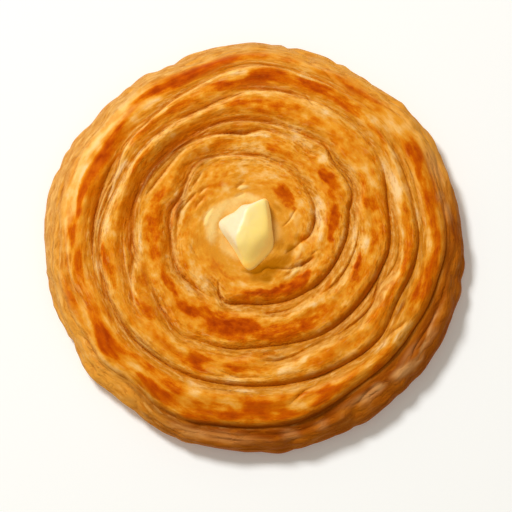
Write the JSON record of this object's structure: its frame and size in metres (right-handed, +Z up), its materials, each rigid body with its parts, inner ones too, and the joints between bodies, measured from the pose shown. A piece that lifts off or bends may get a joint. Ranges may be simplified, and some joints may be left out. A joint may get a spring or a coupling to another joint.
{
  "type": "paratha flatbread",
  "caption": "Thick round layered flatbread, coiled from one rope of dough and pan-browned, with a soft pat of butter on its middle.",
  "frame": {"origin": "on the resting surface, under the middle of the bread's flat base", "axes": "+Z up through the bread's thickness, +X to the right and +Y away from the viewer, who looks down from the -Y side"},
  "size_m": [0.1797, 0.1815, 0.0277],
  "materials": {
    "browned_crust": "golden layered dough with orange-brown pan spots, paler at the rim, lightly greased",
    "soft_butter": "pale yellow, soft and slightly melted, satin"
  },
  "bodies": {
    "root": {"paratha": "browned_crust", "butter": "soft_butter"}
  },
  "joints": []
}
